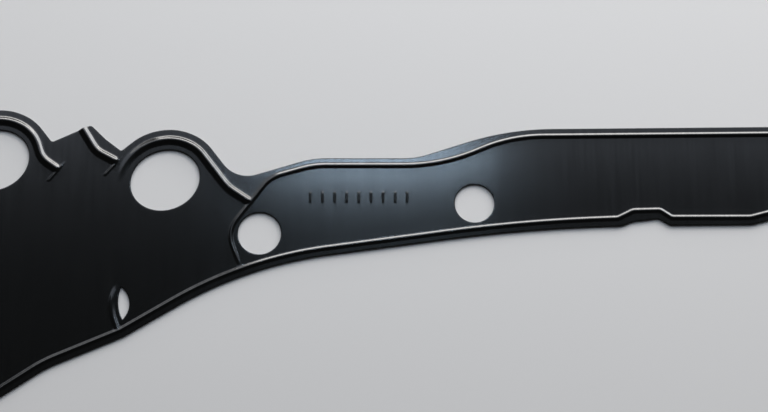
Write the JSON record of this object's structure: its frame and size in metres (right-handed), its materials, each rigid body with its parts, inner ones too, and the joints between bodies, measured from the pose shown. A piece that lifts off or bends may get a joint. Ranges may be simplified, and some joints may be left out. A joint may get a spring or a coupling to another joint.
{
  "type": "transmission gasket",
  "caption": "Thin pressed sheet gasket with two oval ports, two bolt holes, a lens-shaped slot and raised sealing beads that follow its edge.",
  "frame": {"origin": "centre of the larger bolt hole, on the flat underside", "axes": "+X towards the smaller bolt hole and along the arm, +Z out of the side that the beads stand up from, +Y towards the port lobes"},
  "size_m": [0.275, 0.0936, 0.0015],
  "materials": {
    "black_coated_steel": "satin"
  },
  "bodies": {
    "root": {"gasket_plate": "black_coated_steel"}
  },
  "joints": []
}
